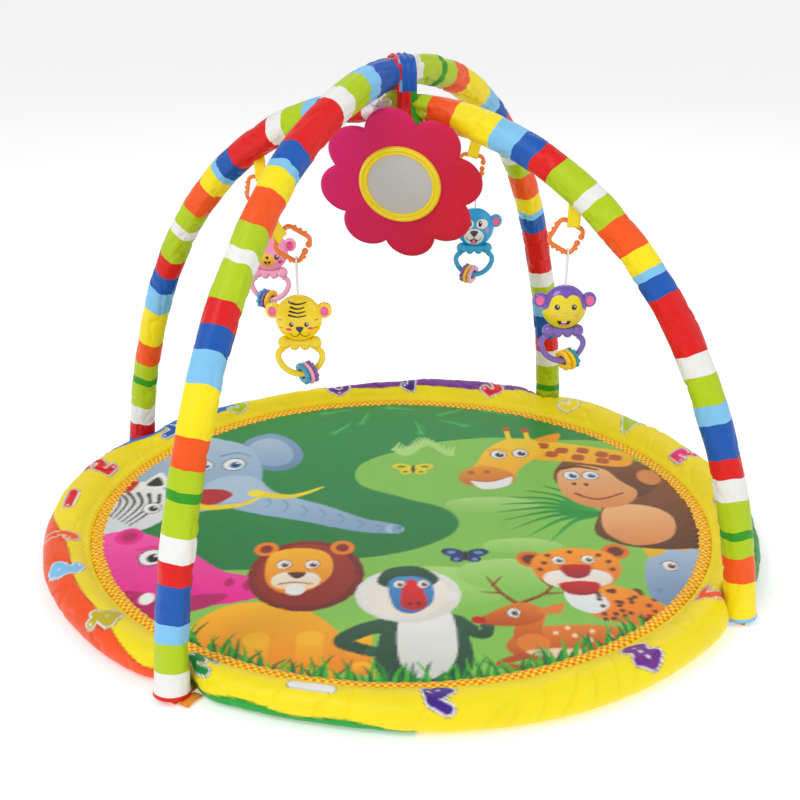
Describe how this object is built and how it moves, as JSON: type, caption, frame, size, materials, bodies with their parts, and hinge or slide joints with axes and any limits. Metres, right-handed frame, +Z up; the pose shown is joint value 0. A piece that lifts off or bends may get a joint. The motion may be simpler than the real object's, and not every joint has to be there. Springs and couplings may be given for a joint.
{
  "type": "activity play gym",
  "caption": "Round padded play mat with a stuffed rim and two crossed padded arches that carry hanging rattles and a flower-shaped mirror.",
  "frame": {"origin": "centre of the round mat on the floor", "axes": "+Z up, -Y towards the front of the mat's picture, +X to its right"},
  "size_m": [0.8998, 0.8998, 0.5745],
  "materials": {
    "print_fabric": "printed satin polyester",
    "rim_fabric": "printed satin polyester",
    "base_fabric": "plain woven backing",
    "wadding": "polyester wadding",
    "trim_fabric": "printed tape",
    "stripe_fabric": "striped satin polyester",
    "pole": "fibreglass tube",
    "ferrule": "steel sleeve",
    "plug": "moulded",
    "ribbon": "white satin ribbon",
    "tab_fabric": "folded tape",
    "tiger_shell": "smooth moulded",
    "tiger_link": "smooth moulded",
    "monkey_shell": "smooth moulded",
    "monkey_link": "smooth moulded",
    "blue_bear_shell": "smooth moulded",
    "blue_bear_link": "smooth moulded",
    "pink_bear_shell": "smooth moulded",
    "pink_bear_link": "smooth moulded",
    "cord": "braided cord",
    "bead": "smooth",
    "ring_pink": "smooth moulded",
    "ring_yellow": "smooth moulded",
    "ring_purple": "smooth moulded",
    "ring_blue": "smooth moulded",
    "ring_teal": "smooth moulded",
    "flower_fabric": "satin, stuffed",
    "bezel": "smooth moulded",
    "mirror": "acrylic mirror"
  },
  "bodies": {
    "mat": {"mat_base_sheet": "base_fabric", "mat_wadding": "wadding", "mat_top_sheet": "print_fabric", "seam_trim_band": "trim_fabric", "rim_cover": "rim_fabric", "rim_filling": "wadding", "anchor_straps": "base_fabric", "foot_pockets": "plug"},
    "frame": {"pole_back_right": "pole", "pole_upper_crown": "pole", "pole_front_left": "pole", "pole_back_left": "pole", "pole_lower_crown": "pole", "pole_front_right": "pole", "pole_ferrules": "ferrule", "foot_plugs": "plug", "sleeve_wadding_upper": "wadding", "sleeve_wadding_lower": "wadding", "sleeve_cover_upper": "stripe_fabric", "sleeve_cover_lower": "stripe_fabric", "crossing_tie": "ribbon", "toy_tabs": "tab_fabric"},
    "tiger_clip": {"tiger_link": "tiger_link"},
    "tiger_toy": {"tiger_cord": "cord", "tiger_face": "tiger_shell", "tiger_back": "tiger_shell", "tiger_beads": "bead"},
    "tiger_ring_1": {"tiger_ring_flower": "ring_blue"},
    "tiger_ring_2": {"tiger_ring_round": "ring_pink"},
    "tiger_ring_3": {"tiger_ring_gear": "ring_purple"},
    "monkey_clip": {"monkey_link": "monkey_link"},
    "monkey_toy": {"monkey_cord": "cord", "monkey_face": "monkey_shell", "monkey_back": "monkey_shell", "monkey_beads": "bead"},
    "monkey_ring_1": {"monkey_ring_flower": "ring_yellow"},
    "monkey_ring_2": {"monkey_ring_round": "ring_yellow"},
    "monkey_ring_3": {"monkey_ring_gear": "ring_teal"},
    "blue_bear_clip": {"blue_bear_link": "blue_bear_link"},
    "blue_bear_toy": {"blue_bear_cord": "cord", "blue_bear_face": "blue_bear_shell", "blue_bear_back": "blue_bear_shell", "blue_bear_beads": "bead"},
    "blue_bear_ring_1": {"blue_bear_ring_flower": "ring_pink"},
    "blue_bear_ring_2": {"blue_bear_ring_round": "ring_yellow"},
    "blue_bear_ring_3": {"blue_bear_ring_gear": "ring_purple"},
    "pink_bear_clip": {"pink_bear_link": "pink_bear_link"},
    "pink_bear_toy": {"pink_bear_cord": "cord", "pink_bear_face": "pink_bear_shell", "pink_bear_back": "pink_bear_shell", "pink_bear_beads": "bead"},
    "pink_bear_ring_1": {"pink_bear_ring_round": "ring_yellow"},
    "pink_bear_ring_2": {"pink_bear_ring_flower": "ring_purple"},
    "pink_bear_ring_3": {"pink_bear_ring_gear": "ring_blue"},
    "mirror": {"flower_front": "flower_fabric", "flower_back": "flower_fabric", "flower_padding": "wadding", "mirror_disc": "mirror", "mirror_bezel": "bezel", "mirror_hanger": "ribbon"}
  },
  "joints": [
    {"name": "frame_lift", "type": "slide", "parent": "mat", "child": "frame", "axis": [0, 0, 1], "range_m": [0, 0.12]},
    {"name": "tiger_link_swing", "type": "hinge", "parent": "frame", "child": "tiger_clip", "pos_m": [-0.12245, -0.17494, 0.41755], "axis": [0.5, 0, 0.866], "range_deg": [-35, 35]},
    {"name": "tiger_toy_swing", "type": "hinge", "parent": "tiger_clip", "child": "tiger_toy", "pos_m": [-0.10678, -0.17494, 0.39269], "axis": [0, 1, 0], "range_deg": [-20, 20]},
    {"name": "tiger_ring_slide_1", "type": "hinge", "parent": "tiger_toy", "child": "tiger_ring_1", "pos_m": [-0.10678, -0.17494, 0.29469], "axis": [0, -1, 0], "range_deg": [-40, 10]},
    {"name": "tiger_ring_slide_2", "type": "hinge", "parent": "tiger_ring_1", "child": "tiger_ring_2", "pos_m": [-0.10678, -0.17494, 0.29469], "axis": [0, -1, 0], "range_deg": [0, 15]},
    {"name": "tiger_ring_slide_3", "type": "hinge", "parent": "tiger_ring_2", "child": "tiger_ring_3", "pos_m": [-0.10678, -0.17494, 0.29469], "axis": [0, -1, 0], "range_deg": [0, 15]},
    {"name": "monkey_link_swing", "type": "hinge", "parent": "frame", "child": "monkey_clip", "pos_m": [0.1832, -0.1093, 0.41433], "axis": [0.866, 0, -0.5], "range_deg": [-35, 35]},
    {"name": "monkey_toy_swing", "type": "hinge", "parent": "monkey_clip", "child": "monkey_toy", "pos_m": [0.17906, -0.1093, 0.38416], "axis": [0, 1, 0], "range_deg": [-20, 20]},
    {"name": "monkey_ring_slide_1", "type": "hinge", "parent": "monkey_toy", "child": "monkey_ring_1", "pos_m": [0.17906, -0.1093, 0.28616], "axis": [0, -1, 0], "range_deg": [-40, 10]},
    {"name": "monkey_ring_slide_2", "type": "hinge", "parent": "monkey_ring_1", "child": "monkey_ring_2", "pos_m": [0.17906, -0.1093, 0.28616], "axis": [0, -1, 0], "range_deg": [0, 15]},
    {"name": "monkey_ring_slide_3", "type": "hinge", "parent": "monkey_ring_2", "child": "monkey_ring_3", "pos_m": [0.17906, -0.1093, 0.28616], "axis": [0, -1, 0], "range_deg": [0, 15]},
    {"name": "blue_bear_link_swing", "type": "hinge", "parent": "frame", "child": "blue_bear_clip", "pos_m": [0.08972, 0.15554, 0.43772], "axis": [0.9903, 0, -0.1392], "range_deg": [-35, 35]},
    {"name": "blue_bear_toy_swing", "type": "hinge", "parent": "blue_bear_clip", "child": "blue_bear_toy", "pos_m": [0.09494, 0.15554, 0.40776], "axis": [0, 1, 0], "range_deg": [-20, 20]},
    {"name": "blue_bear_ring_slide_1", "type": "hinge", "parent": "blue_bear_toy", "child": "blue_bear_ring_1", "pos_m": [0.09494, 0.15554, 0.30977], "axis": [0, 1, 0], "range_deg": [-40, 10]},
    {"name": "blue_bear_ring_slide_2", "type": "hinge", "parent": "blue_bear_ring_1", "child": "blue_bear_ring_2", "pos_m": [0.09494, 0.15554, 0.30977], "axis": [0, 1, 0], "range_deg": [0, 15]},
    {"name": "blue_bear_ring_slide_3", "type": "hinge", "parent": "blue_bear_ring_2", "child": "blue_bear_ring_3", "pos_m": [0.09494, 0.15554, 0.30977], "axis": [0, 1, 0], "range_deg": [0, 15]},
    {"name": "pink_bear_link_swing", "type": "hinge", "parent": "frame", "child": "pink_bear_clip", "pos_m": [-0.17034, 0.1013, 0.42066], "axis": [0.9848, 0, -0.1736], "range_deg": [-35, 35]},
    {"name": "pink_bear_toy_swing", "type": "hinge", "parent": "pink_bear_clip", "child": "pink_bear_toy", "pos_m": [-0.16596, 0.1013, 0.39054], "axis": [0, 1, 0], "range_deg": [-20, 20]},
    {"name": "pink_bear_ring_slide_1", "type": "hinge", "parent": "pink_bear_toy", "child": "pink_bear_ring_1", "pos_m": [-0.16596, 0.1013, 0.29254], "axis": [0, 1, 0], "range_deg": [-40, 10]},
    {"name": "pink_bear_ring_slide_2", "type": "hinge", "parent": "pink_bear_ring_1", "child": "pink_bear_ring_2", "pos_m": [-0.16596, 0.1013, 0.29254], "axis": [0, 1, 0], "range_deg": [0, 15]},
    {"name": "pink_bear_ring_slide_3", "type": "hinge", "parent": "pink_bear_ring_2", "child": "pink_bear_ring_3", "pos_m": [-0.16596, 0.1013, 0.29254], "axis": [0, 1, 0], "range_deg": [0, 15]},
    {"name": "mirror_swing", "type": "hinge", "parent": "frame", "child": "mirror", "pos_m": [0.00858, -0.03548, 0.4995], "axis": [0.9803, -0.1977, 0], "range_deg": [-9, 12]}
  ]
}
